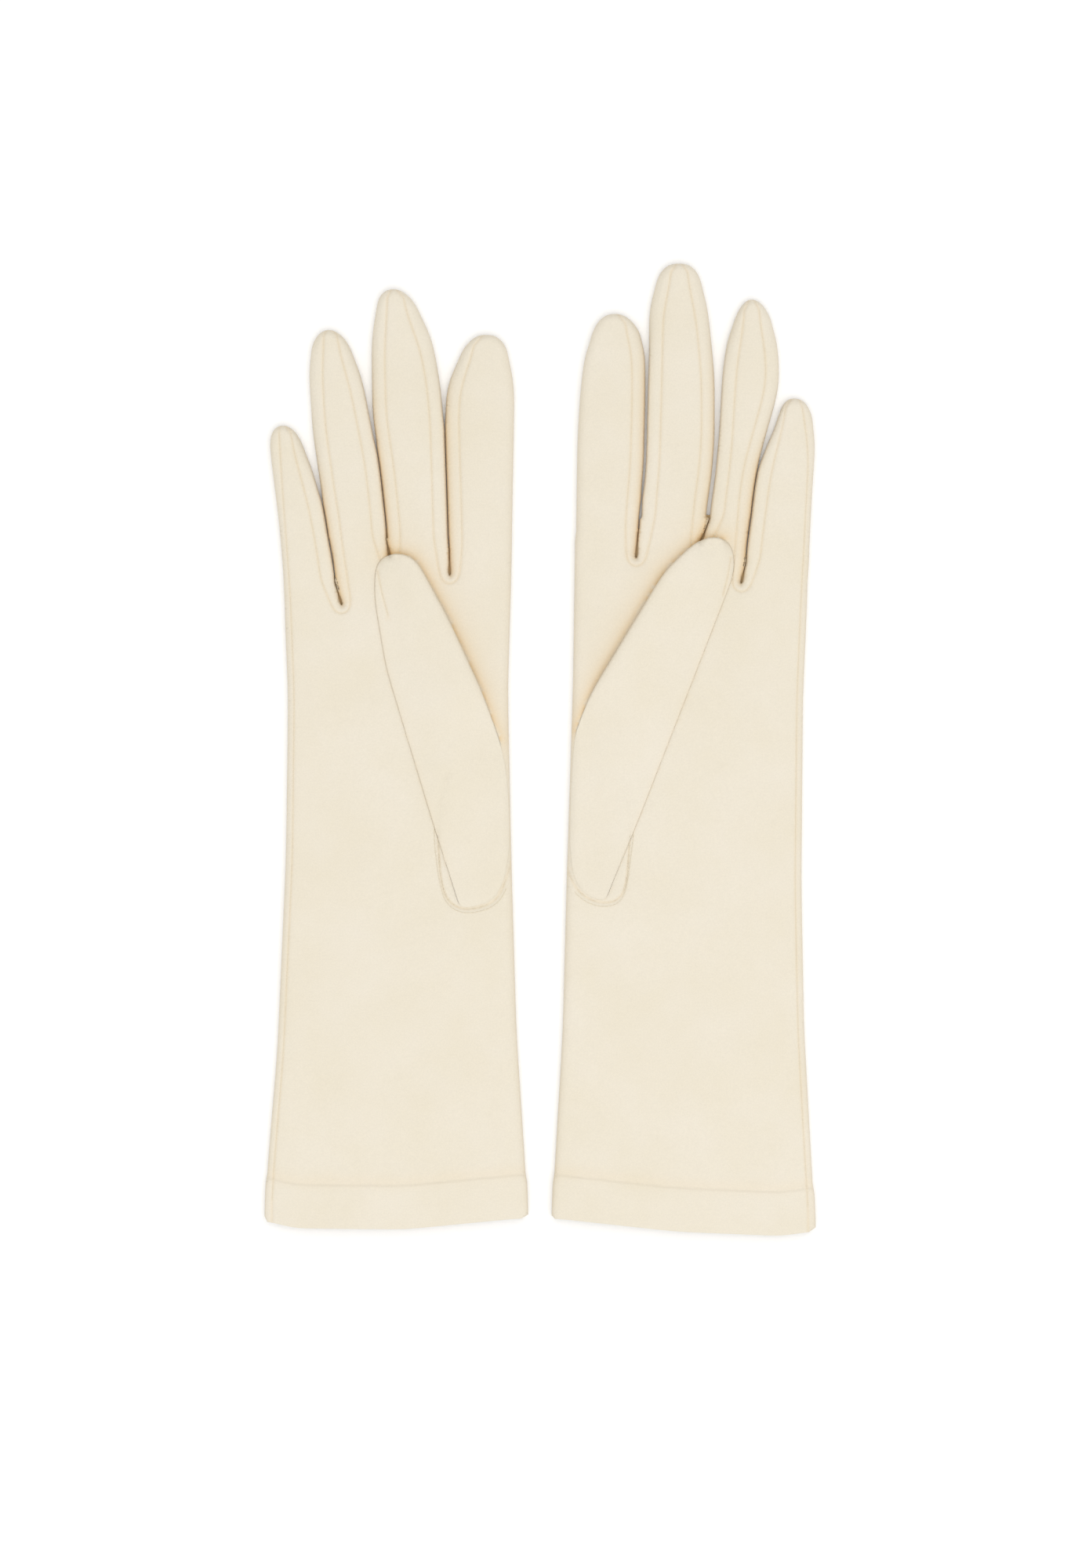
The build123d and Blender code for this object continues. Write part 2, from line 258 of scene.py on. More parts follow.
def inside(points, polygon):
    x, y = points[:, 0], points[:, 1]
    result = np.zeros(len(points), bool)
    for (x0, y0), (x1, y1) in zip(polygon, np.roll(polygon, -1, 0)):
        if y0 == y1:
            continue
        hit = (y0 > y) != (y1 > y)
        result ^= hit & (x < (x1 - x0) * (y - y0) / (y1 - y0) + x0)
    return result


def step01(t):
    t = np.clip(t, 0, 1)
    return t * t * (3 - 2 * t)


def undulation(points, seed, size):
    """Slow, faint unevenness of cloth lying on a table."""
    local = np.random.default_rng(seed)
    total = np.zeros(len(points))
    for wave in (95, 61, 43, 29):
        for _ in range(3):
            angle, phase = local.uniform(0, math.pi), local.uniform(0, 2 * math.pi)
            k = 2 * math.pi / (wave * MM)
            total += np.sin(k * (points[:, 0] * math.cos(angle) + points[:, 1] * math.sin(angle)) + phase)
    return total / 6 * size


# ------------------------------------------------------------------ outlines

# Shape choices for each glove, in millimetres: how far the cuff's two corners
# lie above its lowest point, the ends of the slits between the fingers, the
# U-shaped seam that sets the thumb into the palm, from its hidden upper end
# down round the heel and up the outer edge, and the edge of the folded thumb's
# root just inside that seam, from the crotch downward.
GLOVES = {
    "right": {
        "side": 1,
        "corners": (4.6, 5.2),
        "forks": [(-73.6, 53.5), (-55.8, 71), (-33.6, 64.5)],
        "thumb_u": [(-34, -8), (-38, -22), (-37.6, -36), (-37, -47), (-34.8, -56), (-29, -59.6), (-21, -58.4),
                    (-15.5, -55.4), (-12.6, -48), (-9.5, -38)],
        "thumb_root": [(-14, 0), (-12.6, -7), (-11.7, -20), (-11.4, -36), (-12.9, -47.6), (-16, -54.6),
                       (-21.2, -57.7), (-26.5, -58.7), (-29.8, -58.7)],
        "thumb_seam": [(-60.2, 66), (-58.6, 58.3), (-56.3, 49.6)],
    },
    "left": {
        "side": -1,
        "corners": (3.0, 7.4),
        "forks": [(74.5, 61.5), (59.3, 76), (35.6, 71)],
        "thumb_u": [(30, -8), (33.4, -24), (32.8, -38), (32, -49), (30, -55.6), (24.6, -57.2), (18.6, -56),
                    (13.6, -52.4), (10.6, -46), (8, -40)],
        "thumb_root": [(12.7, 3.5), (12, -4), (11.4, -18), (11, -34), (11.7, -45.4), (14.3, -51.8),
                       (18.9, -55.2), (22.5, -56.2), (24.4, -56.2)],
        "thumb_seam": [(70.6, 71), (69.4, 64), (67.6, 57)],
    },
}


def hull_of(points):
    """Convex outline of points in plan, anticlockwise."""
    points = sorted({(round(x, 6), round(y, 6)) for x, y in points})

    def half(sequence):
        chain = []
        for p in sequence:
            while len(chain) > 1 and ((chain[-1][0] - chain[-2][0]) * (p[1] - chain[-2][1])
                                      - (chain[-1][1] - chain[-2][1]) * (p[0] - chain[-2][0])) <= 0:
                chain.pop()
            chain.append(p)
        return chain[:-1]

    return np.array(half(points) + half(points[::-1]))


class Finger:
    """Edges and seams of one finger; x is measured from the little-finger side."""

    def __init__(self, glove, sign, name):
        self.name, self.body = name, f"{glove}_{name}"
        self.bend = JOINTS[f"{self.body}_bend"]["pos_m"][1]
        self.cut = self.bend - CUT
        cloth = [n for n in BODIES[self.body] if not n.endswith("thread")]
        edges = edges_of(cloth)
        top = edges[:, :, 1].max()
        tip = top - 9 * MM * (1 - np.sin(np.linspace(0, math.pi / 2, 24)[:-1]))
        self.y = np.concatenate([np.arange(self.bend + 0.8 * MM, top - 9.2 * MM, 1 * MM), tip])
        low, high = [], []
        for y in self.y:
            hits, _ = crossings(edges, np.zeros(2), np.array([0, 1.0]), np.array([float(sign), 0]), y)
            low.append(hits.min())
            high.append(hits.max())
        keep = step01((top - 6 * MM - self.y) / (6 * MM))
        self.low = smooth(np.array(low), 5 * MM, self.y) * keep + np.array(low) * (1 - keep)
        self.high = smooth(np.array(high), 5 * MM, self.y) * keep + np.array(high) * (1 - keep)
        self.top = top
        self.middle = (self.low[-1] + self.high[-1]) / 2
        self.read_seams(sign)

    def read_seams(self, sign):
        """Seams on the palm side, from the little-finger side across."""
        edges = edges_of([f"{self.body}_seam_thread"])
        count = 1 if self.name == "index" else 2
        rows = []
        for y in np.arange(self.bend + 1.5 * MM, self.top - 2.5 * MM, 2 * MM):
            hits, z = crossings(edges, np.zeros(2), np.array([0, 1.0]), np.array([float(sign), 0]), y)
            hits = np.sort(hits[z > 5.5 * MM])
            if len(hits) < 2:
                continue
            gaps = np.diff(hits)
            if count == 1:
                rows.append((y, hits.mean()))
            elif gaps.max() > 1.2 * MM:
                k = int(gaps.argmax()) + 1
                rows.append((y, hits[:k].mean(), hits[k:].mean()))
        rows = np.array(rows)
        y = rows[:, 0]
        self.seams = [np.stack([smooth(rows[:, 1 + i], 6 * MM, y), y], 1) for i in range(count)]


class Glove:
    """Outline, seams and heights of one glove in plan; x is from the little-finger side."""

    def __init__(self, name):
        data = GLOVES[name]
        self.name = name
        self.sign = sign = data["side"]
        turn = np.array([sign, 1.0]) * MM
        self.forks = np.array(data["forks"]) * turn
        self.fingers = [Finger(name, sign, f) for f in FINGERS]
        self.keep_slits_open()

        # side edges of the hand and cuff
        shell = [f"{name}_trank_hand", f"{name}_side_seam_thread"]
        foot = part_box(f"{name}_trank_hand")[0].y
        edges = edges_of(shell)
        sides = []
        for corner, end, pick in ((data["corners"][0], self.forks[0][1], 0),
                                  (data["corners"][1], self.fingers[3].bend - 1.2 * MM, -1)):
            at = np.arange(foot + corner * MM, end, 2 * MM)
            found = []
            for y in at:
                hits, _ = crossings(edges, np.zeros(2), np.array([0, 1.0]), np.array([float(sign), 0]), y)
                found.append(np.sort(hits)[pick])
            sides.append(np.stack([smooth(np.array(found), 9 * MM, at), at], 1))
        self.little, self.thumb_side = sides
        for line, way in ((self.little, -1), (self.thumb_side, 1)):
            line[:, 0] += way * 0.45 * MM * (1 - step01((line[:, 1] - line[0, 1] - HEM + 3 * MM) / (2 * MM)))

        # mouth of the cuff, from the little-finger side across
        ends = sorted([sign * self.little[0, 0], sign * self.thumb_side[0, 0]])
        xs = np.arange(ends[0] + 1.2 * MM, ends[1] - 1.2 * MM, 2 * MM)
        low = []
        for x in xs:
            hits, _ = crossings(edges, np.zeros(2), np.array([1.0, 0]), np.array([0, 1.0]), x)
            low.append(hits.min())
        order = np.argsort(sign * xs)
        self.mouth = np.stack([(sign * xs)[order], smooth(np.array(low), 5 * MM, xs)[order]], 1)

        parts = [resample(self.little, 1 * MM)]
        for i, f in enumerate(self.fingers):
            around = np.concatenate([np.stack([f.low, f.y], 1), np.stack([f.high, f.y], 1)[::-1]])
            parts.append(rounded(around, 0.8 * MM, 10))
            if i < 3:
                near, far = self.slit_sides(i)
                parts += [near, far]
        parts.append(resample(self.thumb_side, 1 * MM)[::-1])
        self.sewn = np.concatenate(parts)
        self.outline = np.concatenate([self.sewn, resample(self.mouth, 1 * MM)[::-1]])
        self.make_seams(name, turn, data, foot)

    def slit_sides(self, i):
        """Both sides of the slit between two fingers, down to its rounded end and up again."""
        a, b = self.fingers[i], self.fingers[i + 1]
        x, y = self.forks[i]
        start = min(a.y[0], b.y[0])
        meet = a.high[0] if a.y[0] <= b.y[0] else b.low[0]
        rise = np.arange(0, 1, 0.7 * MM / (start - y))
        centre = np.stack([x + (meet - x) * rise, y + (start - y) * rise], 1)
        half = (0.1 + 0.3 * np.exp(-(((centre[:, 1] - y - 2 * MM) / (2.2 * MM)) ** 2))) * MM
        left = centre - np.stack([half, 0 * half], 1)
        right = centre + np.stack([half, 0 * half], 1)
        if b.y[0] > a.y[0] + 1 * MM:
            on = (a.y > start) & (a.y < b.y[0])
            more = np.stack([a.high[on] + 0.3 * MM, a.y[on]], 1)
            right = np.concatenate([right, more])
        elif a.y[0] > b.y[0] + 1 * MM:
            on = (b.y > start) & (b.y < a.y[0])
            more = np.stack([b.low[on] - 0.3 * MM, b.y[on]], 1)
            left = np.concatenate([left, more])
        return left[::-1], right

    def keep_slits_open(self):
        """Neighbouring fingers lie close without touching."""
        for a, b in zip(self.fingers, self.fingers[1:]):
            right = np.interp(a.y, b.y, b.low)
            near = (a.y > b.y[0]) & (a.y < b.y[-1]) & (right - a.high < 0.8 * MM)
            middle = (right + a.high) / 2
            a.high = np.where(near, middle - 0.1 * MM, a.high)
            left = np.interp(b.y, a.y, a.high)
            near = (b.y > a.y[0]) & (b.y < a.y[-1]) & (b.low - left < 0.8 * MM)
            b.low = np.where(near, left + 0.2 * MM, b.low)

    def make_seams(self, name, turn, data, foot):
        sign = self.sign
        # a fourchette's seam runs down one finger, round the slit, and up the next
        self.fork_seams = []
        self.fork_regions = []
        for i in range(3):
            a, b = self.fingers[i], self.fingers[i + 1]
            angle = np.linspace(math.pi, 2 * math.pi, 9)
            ring = self.forks[i] + np.stack([np.cos(angle), np.sin(angle)], 1) * 3.7 * MM
            line = rounded(np.concatenate([a.seams[-1][::-1], ring, b.seams[0]]), 0.8 * MM, 14)
            ends = [(a.middle, a.top + 1 * MM)], [(b.middle, b.top + 1 * MM)]
            self.fork_seams.append(np.concatenate([ends[0], line, ends[1]]))
            above = max(a.top, b.top) + 5 * MM
            region = np.concatenate([[(a.middle, above)], line, [(b.middle, above)]])
            self.fork_regions.append(region)

        # the side seam follows the little-finger edge up to the tip
        f = self.fingers[0]
        edges = edges_of([f"{name}_side_seam_thread"])
        rows = []
        for y in np.arange(foot + 9 * MM, f.bend - 1 * MM, 4 * MM):
            hits, _ = crossings(edges, np.zeros(2), np.array([0, 1.0]), np.array([float(sign), 0]), y)
            rows.append((hits.mean(), y))
        line = rounded(np.concatenate([rows, f.seams[0]]), 1.5 * MM, 30)
        start = [(line[0, 0], foot - 2 * MM)]
        self.side_seam = np.concatenate([start, line, [(f.middle - 1 * MM, f.top + 1 * MM)]])

        self.thumb_u = rounded(np.array(data["thumb_u"]) * turn, 0.8 * MM, 25)
        self.thumb_root = rounded(np.array(data["thumb_root"]) * turn, 0.8 * MM, 15)
        back = [self.thumb_root[0] + (-1 * MM, 1 * MM)]
        self.patch = np.concatenate([self.thumb_u, self.thumb_root[:12][::-1] + (-1.5 * MM, 0), back])

        self.centre_of_u = self.thumb_u[10:-10].mean(0) + (0, 12 * MM)
        self.make_thumb_line(name, sign, data, turn)

        self.slits = []
        for i in range(3):
            a, b = self.fingers[i], self.fingers[i + 1]
            y = a.y if a.top < b.top else b.y
            y = y[y > max(a.y[0], b.y[0])]
            x = (np.interp(y, a.y, a.high) + np.interp(y, b.y, b.low)) / 2
            longer = b.low if b.top > a.top else a.high
            tall = (b if b.top > a.top else a)
            above = tall.y > y[-1]
            lean = -3 * MM if b.top > a.top else 3 * MM
            self.slits.append((np.concatenate([[self.forks[i][1]], y, tall.y[above] + 0.5 * MM]),
                               np.concatenate([[self.forks[i][0]], x, longer[above] + lean])))

    def make_thumb_line(self, name, sign, data, turn):
        """Outline of the folded thumb: the stall, closed by the edge of its root."""
        joint = JOINTS[f"{name}_thumb_lift"]
        self.root_at = np.array(joint["pos_m"][:2])
        axis = np.array(joint["axis"][:2])
        self.off_root = np.array([-axis[1], axis[0]])
        if self.off_root[1] < 0 and self.off_root[0] * sign > 0:
            self.off_root = -self.off_root
        points = []
        for v in frame["nodes"][f"{name}_thumb_stall"].data.vertices:
            points.append((sign * v.co.x, v.co.y))
        hull = hull_of(points)
        first = int(np.argmin(hull[:, 1]))
        hull = np.roll(hull, -first, 0)
        if hull[1, 0] > hull[-1, 0]:
            hull = np.roll(hull[::-1], 1, 0)
        last = int(np.argmin(np.linalg.norm(hull - self.thumb_root[0], axis=1)))
        free = rounded(hull[:last + 1], 1 * MM, 25)
        tip = int(np.argmax(free[:, 1] - 0.4 * free[:, 0]))
        self.thumb_edges = free[:tip + 1], free[tip:]
        self.thumb_line = rounded(np.concatenate([free, self.thumb_root]), 0.8 * MM, 8, closed=True)
        self.thumb_seam = np.array(data["thumb_seam"]) * turn

    # heights

    def measure(self, p):
        self.d_edge = distance_to(p, [self.sewn])
        self.d_fork = distance_to(p, self.fork_seams)
        self.d_side = distance_to(p, [self.side_seam])
        self.d_thumb = distance_to(p, [self.thumb_u])
        self.in_fork = np.zeros(len(p), bool)
        for region in self.fork_regions:
            self.in_fork |= inside(p, region)
        self.lee, self.proud = np.zeros(len(p)), np.zeros(len(p))
        for i, (y, x) in enumerate(self.slits):
            over = p[:, 0] - np.interp(p[:, 1], y, x)
            end = min(self.fingers[i].top, self.fingers[i + 1].top)
            along = step01((p[:, 1] - y[0] + 2 * MM) / (4 * MM))
            along *= step01((end + 4 * MM - p[:, 1]) / (34 * MM))
            self.lee = np.maximum(self.lee, np.where(over > 0, along * np.exp(-over / (1.6 * MM)), 0))
            self.proud = np.maximum(self.proud, np.where(over < 0, along * np.exp(over / (2.2 * MM)), 0))
        self.in_patch = inside(p, self.patch)
        self.d_thumb_edge = distance_to(p, [self.thumb_edges[1]])
        self.under_thumb = inside(p, self.thumb_line)
        self.up_cuff = p[:, 1] - np.interp(p[:, 0], self.mouth[:, 0], self.mouth[:, 1])

    def top(self, p):
        """Height of the palm-side cloth; measure() comes first."""
        d = self.d_edge
        fingers = step01((p[:, 1] - 55 * MM) / (35 * MM))
        full = 4.6 * MM + 0.5 * MM * step01((p[:, 1] + 160 * MM) / (120 * MM)) + 0.4 * MM * fingers
        roll = np.sqrt(np.maximum(0, 1 - (1 - np.clip(d / (2.6 * MM), 0, 1)) ** 2))
        z = EDGE_Z + (full - EDGE_Z) * roll
        z += 0.5 * MM * (1 - np.exp(-np.maximum(d - 1.5 * MM, 0) / (7 * MM)))
        z += undulation(p, 11 if self.sign > 0 else 23, 0.32 * MM) * step01(d / (12 * MM))
        z += (1.5 * self.proud + 0.3 * self.lee) * MM
        z -= np.where(self.in_fork, 0.5 * MM * step01(self.d_fork / (4 * MM)), 0)
        for gap, depth in ((self.d_fork, 0.42), (self.d_side, 0.30), (self.d_thumb, 0.42)):
            z -= depth * MM * np.exp(-((gap / (0.42 * MM)) ** 2))
            z -= 0.22 * MM * np.exp(-((gap / (1.8 * MM)) ** 2))
        z += np.where(self.in_patch, 0.25 * MM * np.exp(-self.d_thumb / (3 * MM)), 0)
        z += 0.42 * MM * (1 - step01((self.up_cuff - HEM + 0.5 * MM) / (1.0 * MM)))
        z -= 0.12 * MM * np.exp(-(((self.up_cuff - HEM - 0.8 * MM) / (1.2 * MM)) ** 2))
        return z

    def painted_shade(self, p):
        """Strength of painted warm shade at each point, beside a seam, slit, edge, the hem or the folded thumb."""
        t = 0.16 * np.exp(-((self.d_fork / (0.5 * MM)) ** 2))
        t += 0.14 * np.exp(-((self.d_side / (0.5 * MM)) ** 2))
        t += 0.14 * np.exp(-((self.d_thumb / (0.5 * MM)) ** 2))
        t += 0.10 * np.exp(-self.d_edge / (0.8 * MM)) + 0.62 * self.lee + 0.3 * self.proud ** 3
        t += 0.07 * np.exp(-(((self.up_cuff - HEM - 1.5 * MM) / (2.5 * MM)) ** 2))
        # painted shadow of the folded thumb: strong on the palm beside its raised edge, faint under it
        t += np.where(self.under_thumb, 0.1, 0.5 * np.exp(-self.d_thumb_edge / (1.7 * MM))
                      + 0.16 * np.exp(-self.d_thumb_edge / (6 * MM)))
        return np.clip(t, 0, 1)

    def bottom(self, p):
        """Height of the back of the glove, lying on the table."""
        roll = np.sqrt(np.maximum(0, 1 - (1 - np.clip(self.d_edge / (2.2 * MM), 0, 1)) ** 2))
        z = EDGE_Z - (EDGE_Z - 0.1 * MM) * roll
        return z + 0.2 * MM * np.exp(-((self.d_fork / (0.42 * MM)) ** 2))

    def finger_of(self, p):
        """0 to 3 for a point on a finger's own cloth, or else ON_HAND."""
        number = np.zeros(len(p), int)
        for y, x in self.slits:
            number += p[:, 0] > np.interp(p[:, 1], y, x)
        cuts = np.array([f.cut for f in self.fingers])
        return np.where(p[:, 1] > cuts[number], number, ON_HAND)


# ------------------------------------------------------------------ cloth

def triangulate(outline, lines, spacing):
    """Triangles inside a closed outline, with every line kept as an edge."""
    lines = [resample(line, 0.9 * MM) for line in lines]
    fixed = [outline] + lines
    points = []
    for line, closed in [(outline, True)] + [(line, False) for line in lines]:
        fine = resample(line, 0.9 * MM, closed)
        ahead = np.roll(fine, -1, 0) - np.roll(fine, 1, 0)
        across = np.stack([-ahead[:, 1], ahead[:, 0]], 1) / (np.linalg.norm(ahead, axis=1)[:, None] + 1e-12)
        for k, row in enumerate(ROWS):
            chosen = slice(k % 2, None, 1 if k < 2 else 2)
            points.append(fine[chosen] + across[chosen] * row)
            points.append(fine[chosen] - across[chosen] * row)
    low, high = outline.min(0), outline.max(0)
    xs = np.arange(low[0], high[0], spacing)
    ys = np.arange(low[1], high[1], spacing * 0.866)
    grid = np.stack(np.meshgrid(xs, ys), -1)
    grid[1::2, :, 0] += spacing / 2
    grid = grid.reshape(-1, 2) + rng.uniform(-0.12, 0.12, (grid.shape[0] * grid.shape[1], 2)) * spacing
    borders = [np.vstack([outline, outline[:1]])] + lines
    near = np.concatenate(points)
    near = near[inside(near, outline)]
    gap = distance_to(near, borders)
    near = near[gap > ROWS[0] * 0.8]
    grid = grid[inside(grid, outline)]
    gap = distance_to(grid, borders)
    grid = grid[gap > ROWS[-1] + 0.4 * spacing]
    near = near[spread(near, 0.28 * MM)]
    loose = np.concatenate([near, grid])

    verts, edges = [], []
    for i, line in enumerate(fixed):
        start, count = len(verts), len(line)
        verts += [tuple(p) for p in line / MM]
        edges += [(start + k, start + k + 1) for k in range(count - 1)]
        if i == 0:
            edges.append((start + count - 1, start))
    verts += [tuple(p) for p in loose / MM]
    out = delaunay_2d_cdt([Vector(v) for v in verts], edges, [], 1, 1e-4, False)
    flat = np.array([tuple(v) for v in out[0]]) * MM
    tris = np.array([f for f in out[2] if len(f) == 3])
    tris = tris[inside(flat[tris].mean(1), outline)]
    used, tris = np.unique(tris, return_inverse=True)
    return flat[used], tris.reshape(-1, 3)


def spread(points, least):
    """Mask that drops points closer than least to one kept before."""
    cell = np.round(points / least).astype(int)
    _, first = np.unique(cell, axis=0, return_index=True)
    keep = np.zeros(len(points), bool)
    keep[first] = True
    return keep


def normals_of(co, tris):
    n = np.cross(co[tris[:, 1]] - co[tris[:, 0]], co[tris[:, 2]] - co[tris[:, 0]])
    total = np.zeros_like(co)
    for k in range(3):
        np.add.at(total, tris[:, k], n)
    return total / (np.linalg.norm(total, axis=1)[:, None] + 1e-15)


def area_of(co, tris):
    n = np.cross(co[tris[:, 1]] - co[tris[:, 0]], co[tris[:, 2]] - co[tris[:, 0]])
    return np.linalg.norm(n, axis=1).sum() / 2


def make_object(name, co, faces, normals, material):
    mesh = bpy.data.meshes.new(name)
    mesh.from_pydata(co.tolist(), [], [list(map(int, f)) for f in faces])
    mesh.polygons.foreach_set("use_smooth", np.ones(len(mesh.polygons), bool))
    if normals is not None:
        mesh.normals_split_custom_set_from_vertices(normals.tolist())
    mesh.materials.append(material)
    obj = bpy.data.objects.new(name, mesh)
    scene.collection.objects.link(obj)
    return obj


def cloth_piece(name, co, tris, normals, painted_shade, thickness=CLOTH):
    """A closed piece of cloth: outer face, inner face and the rim between."""
    used, tris = np.unique(tris, return_inverse=True)
    tris = tris.reshape(-1, 3)
    outer, n = co[used], normals[used]
    count = len(outer)
    pairs = np.concatenate([tris[:, [0, 1]], tris[:, [1, 2]], tris[:, [2, 0]]])
    key = np.sort(pairs, 1)
    _, index, times = np.unique(key, axis=0, return_inverse=True, return_counts=True)
    open_pairs = pairs[times[index.ravel()] == 1]
    first, last = open_pairs[:, 0], open_pairs[:, 1]
    rim = np.stack([last, first, first + count, last + count], 1)
    faces = [list(t) for t in tris] + [list(t) for t in tris[:, ::-1] + count] + [list(r) for r in rim]
    all_co = np.concatenate([outer, outer - n * thickness])
    obj = make_object(name, all_co, faces, np.concatenate([n, -n]), CREAM)
    # painted shade per point, kept as an attribute that the material reads
    painted_shade_layer = obj.data.attributes.new("painted_shade", "FLOAT", "POINT")
    painted_shade_layer.data.foreach_set("value", np.tile(painted_shade[used], 2).astype(np.float32))
    return obj, area_of(outer, tris)


# ------------------------------------------------------------------ stitches

def stitches(name, lines, pitch, length, radius):
    """Short rounded stitches laid end to end along lines of points in space."""
    rings = ((-0.5, 0.45), (-0.3, 1.0), (0.3, 1.0), (0.5, 0.45))
    co, faces, normals = [], [], []
    for line in lines:
        at = resample(line, pitch)
        for a, b in zip(at[:-1], at[1:]):
            ahead = (b - a) / (np.linalg.norm(b - a) + 1e-12)
            across = np.cross(ahead, (0, 0, 1.0))
            across /= np.linalg.norm(across) + 1e-12
            lift = np.cross(ahead, across)
            middle = (a + b) / 2
            start = len(co)
            for t, r in rings:
                for k in range(6):
                    turn = k * math.pi / 3
                    out = across * math.cos(turn) + lift * math.sin(turn)
                    co.append(middle + ahead * t * length + out * r * radius)
                    normals.append(out + ahead * (0.9 if t == 0.5 else -0.9 if t == -0.5 else 0))
            for ring in range(3):
                for k in range(6):
                    q = start + ring * 6
                    faces.append((q + k, q + (k + 1) % 6, q + 6 + (k + 1) % 6, q + 6 + k))
            faces.append(tuple(start + k for k in range(5, -1, -1)))
            faces.append(tuple(start + 18 + k for k in range(6)))
    n = np.array(normals)
    n /= np.linalg.norm(n, axis=1)[:, None]
    return make_object(name, np.array(co), faces, n, THREAD)


def part_of(line, mask):
    """The runs of a line where mask holds."""
    runs, run = [], []
    for point, good in zip(line, mask):
        if good:
            run.append(point)
        elif run:
            runs.append(run)
            run = []
    if run:
        runs.append(run)
    return [np.array(r) for r in runs if len(r) > 3]


# ------------------------------------------------------------------ building a glove

def follow(obj, glove, finger):
    """Give a piece its body: the hand's; a finger's piece only has its placing baked into the mesh."""
    if finger is None:
        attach(obj, f"{glove.name}_glove")
    else:
        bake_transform(obj)


def declare(node):
    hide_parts(node)


def lift(glove, points, z):
    """Plan points of a glove as points in space."""
    return np.stack([points[:, 0] * glove.sign, points[:, 1], z], 1)


def seam_stitches(glove, node, lines, finger=None):
    placed = []
    for line in lines:
        fine = resample(line, 0.5 * MM)
        glove.measure(fine)
        placed.append(lift(glove, fine, glove.top(fine) + STITCH_PROUD))
    obj = stitches(node + "_stitches", placed, *STITCH)
    follow(obj, glove, finger)
    declare(node)


